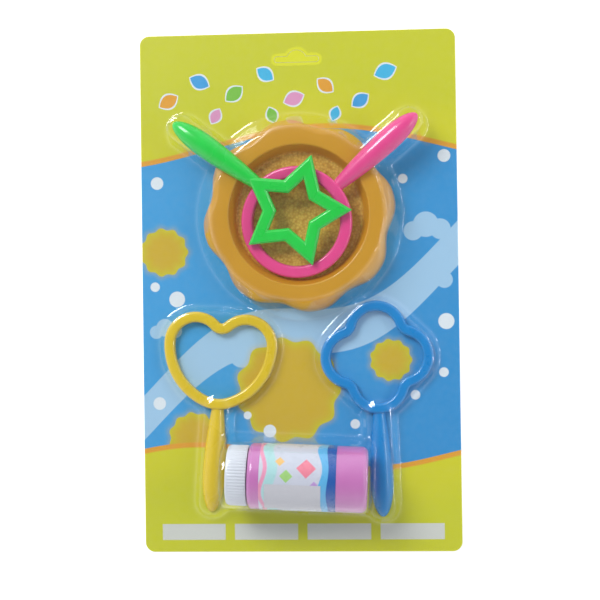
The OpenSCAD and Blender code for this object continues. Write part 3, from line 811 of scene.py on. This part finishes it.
smooth(cap, 45)
cap_white = moulded("cap_plastic", screen(218, 222, 229), screen(210, 215, 223), 0.3)
dressed(cap, cap_white, "cap", "bottle_cap")

# The blister: one sheet of clear film, drawn down hot over moulds into pockets for every toy and
# sealed to the card all round. It is modelled as the solid of its pockets, melted together, and
# then hollowed to the film's thickness.
film_t = 0.45 * mm
film_top = 1.1 * mm
film_skin = 0.5 * mm
film_voxel = 1.6 * mm
pocket_gap = 1 * mm
pocket_spread = 2 * mm
pocket_round = 3 * mm
slab_z = -6 * mm
trim_z = -2 * mm
border = 0.5 * mm
border_levels = (0.3 * mm, 60 * mm)
corner_r = 5.5 * mm
overhang = 6 * mm
pocket_sides = 64
arch_sides = 96
foot_sides = 32
high_z = 27.1 * mm
low_z = face_z + bar_h + pocket_gap
grip_z = face_z + handle_r + pocket_gap
grip_r = handle_r + pocket_gap
# How far each line of a pocket's rounded edge lies below its top and inside its wall
pocket_edge = [(pocket_round * (1 - math.sin(angle)), pocket_round * (1 - math.cos(angle)))
               for angle in map(math.radians, (0, 30, 60, 90))]


def hull_of(name, rounds):
    """A closed body over rounds, each a middle and a radius."""
    bpy.ops.object.select_all(action="DESELECT")
    middle, radius = rounds[0]
    bpy.ops.mesh.primitive_circle_add(vertices=pocket_sides, radius=radius, location=middle)
    body = bpy.context.object
    body.name = name
    bpy.ops.object.transform_apply()
    bpy.ops.object.mode_set(mode="EDIT")
    for middle, radius in rounds[1:]:
        bpy.ops.mesh.primitive_circle_add(vertices=pocket_sides, radius=radius, location=middle)
    bpy.ops.mesh.select_all(action="SELECT")
    bpy.ops.mesh.convex_hull()
    bpy.ops.object.mode_set(mode="OBJECT")
    return body


def corner_rounds(growth, levels):
    """Rounds at the card's four corners, set out from its edges, at each of these heights."""
    half_w = card_w / 2 + growth - corner_r
    half_h = card_h / 2 + growth - corner_r
    return [((x * half_w, y * half_h, z), corner_r) for x in (-1, 1) for y in (-1, 1) for z in levels]


def pocket(name, places, radius, top):
    """One pocket's outside: spread at the card, leaning in, and rounded at its top."""
    rounds = []
    for place in places:
        for z in (slab_z, film_top):
            rounds.append(((place.x, place.y, z), radius + film_skin + pocket_spread))
        for drop, inset in pocket_edge:
            rounds.append(((place.x, place.y, top + film_skin - drop), radius + film_skin - inset))
    return hull_of(name, rounds)


def on_wand(at, turn, x, y):
    """A point of a wand, given in its own frame, on the card."""
    return Matrix.Rotation(math.radians(turn), 2) @ Vector((x, y)) + at.xy


def handle_run(at, turn, start):
    """The two ends of a handle's middle line."""
    return [on_wand(at, turn, 0, -start), on_wand(at, turn, 0, -start - handle_l + handle_r)]


film = hull_of("blister_film", corner_rounds(overhang, (slab_z, film_top)))

# The dish's dome stands on a wide foot, leans in past the dish's shoulder and is flat on top
dome_foot_r = tray_r + pocket_gap + pocket_spread + film_skin
dome_top_r = tray_r - rim_round + film_skin
dome_lines = [(slab_z, dome_foot_r), (film_top, dome_foot_r)]
dome_lines += [(face_z + tray_h - rim_round / 2, tray_r + pocket_gap + film_skin)]
dome_lines += [(high_z + film_skin - drop, dome_top_r - inset) for drop, inset in pocket_edge]
dome = hull_of("dome", [((tray_at.x, tray_at.y, z), radius) for z, radius in dome_lines])

# The heart's pocket follows its sides by rounds as large as a lobe, rolled from each lobe to the tip
roll_r = heart_side_r - heart_lobe_r
heart_rounds = []
for side in (-1, 1):
    for share in (0, 1 / 3, 2 / 3, 1):
        down = math.radians(heart_sweep * share)
        heart_rounds.append(on_wand(heart_at, heart_turn, side * (heart_side_x + roll_r * math.cos(down)),
                                    heart_lobe_y - roll_r * math.sin(down)))
flower_lobes = [on_wand(flower_at, flower_turn, x * flower_pitch, y * flower_pitch)
                for x, y in ((1, 0), (0, 1), (-1, 0), (0, -1))]
bodies = [
    dome,
    pocket("ring_channel", handle_run(ring_at, ring_dir + 90, ring_r), grip_r, high_z),
    pocket("star_channel", handle_run(star_at, star_dir + 90, star_neck), grip_r, high_z),
    pocket("heart_head", heart_rounds, heart_lobe_r + pocket_gap, low_z),
    pocket("heart_grip", handle_run(heart_at, heart_turn, 0), grip_r, grip_z),
    pocket("flower_head", flower_lobes, flower_lobe_r + pocket_gap, low_z),
    pocket("flower_grip", handle_run(flower_at, flower_turn, flower_reach), grip_r, grip_z),
]

# The bottle's arch: rounds across the bottle's axis, and a wider foot on the card
arch_r = bottle_r + pocket_gap + film_skin
arch_start = -pocket_gap - film_skin
arch_end = cap_top + pocket_gap + cap_travel + film_skin


def across_axis(radius, along):
    """A round of edges across the bottle's axis."""
    bpy.ops.mesh.primitive_circle_add(vertices=arch_sides, radius=radius, rotation=laid_down.to_euler(),
                                      location=laid_down @ Vector((0, 0, along)))


bpy.ops.object.select_all(action="DESELECT")
across_axis(arch_r - pocket_round, arch_start)
arch = bpy.context.object
arch.name = "bottle_arch"
bpy.ops.object.transform_apply()
bpy.ops.object.mode_set(mode="EDIT")
for drop, inset in pocket_edge:
    across_axis(arch_r - inset, arch_start + drop)
    across_axis(arch_r - inset, arch_end - drop)
foot_half = arch_r + pocket_spread - pocket_round
for along in (arch_start - pocket_spread + pocket_round, arch_end + pocket_spread - pocket_round):
    for across in (-foot_half, foot_half):
        corner = laid_down @ Vector((0, across, along))
        for z in (slab_z, film_top):
            bpy.ops.mesh.primitive_circle_add(vertices=foot_sides, radius=pocket_round,
                                              location=(corner.x, corner.y, z))
bpy.ops.mesh.select_all(action="SELECT")
bpy.ops.mesh.convex_hull()
bpy.ops.object.mode_set(mode="OBJECT")
bodies.append(arch)

alone(film)
for body in bodies:
    body.select_set(True)
bpy.ops.object.join()
modified(film, "REMESH", mode="VOXEL", voxel_size=film_voxel)
modified(film, "SMOOTH", factor=0.5, iterations=3)
bpy.ops.object.mode_set(mode="EDIT")
bpy.ops.mesh.select_all(action="SELECT")
bpy.ops.mesh.bisect(plane_co=(0, 0, trim_z), plane_no=(0, 0, 1), clear_inner=True)
bpy.ops.object.mode_set(mode="OBJECT")
modified(film, "SOLIDIFY", thickness=film_t, offset=-1)

# The film's border and the opening round the hang slot are cut through it
combine(film, hull_of("border", corner_rounds(-border, border_levels)), "INTERSECT")
slot_y = 145 * mm
wing_r = 4 * mm
wing_x = 12.25 * mm
wing_y = slot_y + 2 * mm
hump_r = 8.5 * mm
hump_y = slot_y + 1.5 * mm
hump_foot_y = slot_y - 2 * mm
cut_levels = (-1 * mm, 5 * mm)
wings = [((side * wing_x, wing_y, z), wing_r) for side in (-1, 1) for z in cut_levels]
combine(film, hull_of("wing_cut", wings), "DIFFERENCE")
hump = hull_of("hump_cut", [((0, hump_y, z), hump_r) for z in cut_levels])
below = block((0, hump_foot_y - hump_r, 2 * mm), (4 * hump_r, 2 * hump_r, 20 * mm))
combine(hump, below, "DIFFERENCE")
combine(film, hump, "DIFFERENCE")
smooth(film, 60)

film_material, place = new_material("clear_film")
ripple = noise(place, 55, 3)
fine = noise(place, 320, 2)
wavy = bumped(ripple + 0.15 * fine, 0.3, 1 * mm)
clear = place.node("ShaderNodeBsdfTransparent", {}, {"Color": (0.976, 0.981, 0.986, 1)})
gloss = place.node("ShaderNodeBsdfGlossy", {}, {"Color": (1, 1, 1, 1), "Roughness": 0.06, "Normal": wavy})
facing = place.node("ShaderNodeLayerWeight", {}, {"Blend": 0.5, "Normal": wavy}, "Facing")
sheet_mix = place.node("ShaderNodeMixShader", {}, {0: 0.035 + 0.4 * facing ** 4, 1: clear, 2: gloss})
place.node("ShaderNodeOutputMaterial", {}, {"Surface": sheet_mix})
dressed(film, film_material, "blister", "blister")

# The stage: a pale floor that reads as white, soft light from a lamp at the upper left, a thin one
# at the right and the room's walls, and a camera that looks almost straight down.
floor_size = 6
floor_drop = 0.05 * mm
floor_glow = 0.28
bpy.ops.object.select_all(action="DESELECT")
bpy.ops.mesh.primitive_plane_add(size=floor_size, location=(0, 0, -floor_drop))
ground = bpy.context.object
ground.name = "stage_floor"
ground_material, place = new_material("stage_white")
path = place.node("ShaderNodeLightPath", {}, {})
seen = path.out("Is Camera Ray") + path.out("Is Glossy Ray") + path.out("Is Transmission Ray")
matte = place.node("ShaderNodeBsdfDiffuse", {}, {"Color": (0.86, 0.86, 0.86, 1)})
glow = place.node("ShaderNodeEmission", {}, {"Strength": seen * floor_glow})
lit = place.node("ShaderNodeAddShader", {}, {0: matte, 1: glow})
place.node("ShaderNodeOutputMaterial", {}, {"Surface": lit})
painted(ground, ground_material)

world = bpy.data.worlds.new("room")
bpy.context.scene.world = world
world.use_nodes = True
world.node_tree.nodes.clear()
# The room's light comes from its walls more than from straight overhead
sight = Value(world.node_tree).node("ShaderNodeTexCoord", {}, {}, "Generated")
rise = sight.node("ShaderNodeSeparateXYZ", {}, {0: sight}, "Z")
walls = sight.node("ShaderNodeBackground", {},
                   {"Color": (0.95, 0.97, 1, 1), "Strength": 0.2 + 0.9 * (1 - rise ** 2)})
sight.node("ShaderNodeOutputWorld", {}, {"Surface": walls})


def lamp(name, at, size, power):
    """A soft lamp that looks at the middle of the card."""
    light = bpy.data.lights.new(name, "AREA")
    light.shape = "RECTANGLE"
    light.size, light.size_y = size
    light.energy = power
    holder = bpy.data.objects.new(name, light)
    holder.location = at
    holder.rotation_euler = (-Vector(at)).to_track_quat("-Z", "Y").to_euler()
    bpy.context.scene.collection.objects.link(holder)


lamp("key", (-1.35, 1.5, 1.95), (1.05, 1.05), 56)
lamp("side", (0.9, 0.1, 0.55), (0.9, 0.05), 2.5)

camera = bpy.data.cameras.new("camera")
camera.lens = 75.77
camera.sensor_width = 36
camera.clip_start = 0.01
eye = bpy.data.objects.new("camera", camera)
eye.location = (0.04952, -0.01479, 0.79686)
eye.rotation_euler = (math.radians(0.6194), math.radians(3.5531), math.radians(-0.7898))
bpy.context.scene.collection.objects.link(eye)
bpy.context.scene.camera = eye
bpy.context.scene.view_settings.view_transform = "Standard"
